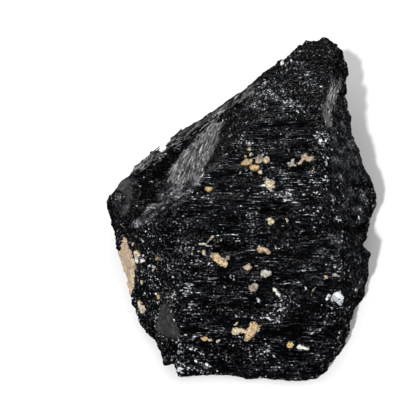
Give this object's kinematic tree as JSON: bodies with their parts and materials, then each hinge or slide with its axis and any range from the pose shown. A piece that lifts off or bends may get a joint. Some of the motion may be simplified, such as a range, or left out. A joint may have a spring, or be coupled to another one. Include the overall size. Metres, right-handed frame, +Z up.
{
  "type": "black tourmaline crystal lump",
  "caption": "Rough lump of black tourmaline: striated crystal faces on top and front, rough broken flanks, and a flat broken base to rest on.",
  "frame": {"origin": "middle of the lump's box, on the level surface that it rests on", "axes": "+X along the crystal's striations, +Y from the foot of the striated front to the summit, +Z up"},
  "size_m": [0.053, 0.0728, 0.0249],
  "materials": {
    "black_tourmaline": "glassy to satin black, finely striated along the crystal, with rough sparkling breaks",
    "feldspar": "matte to pearly cream, orange and pink grains",
    "mica": "bright silvery cleavage flakes"
  },
  "bodies": {
    "root": {"tourmaline_crystal": "black_tourmaline"}
  },
  "joints": []
}
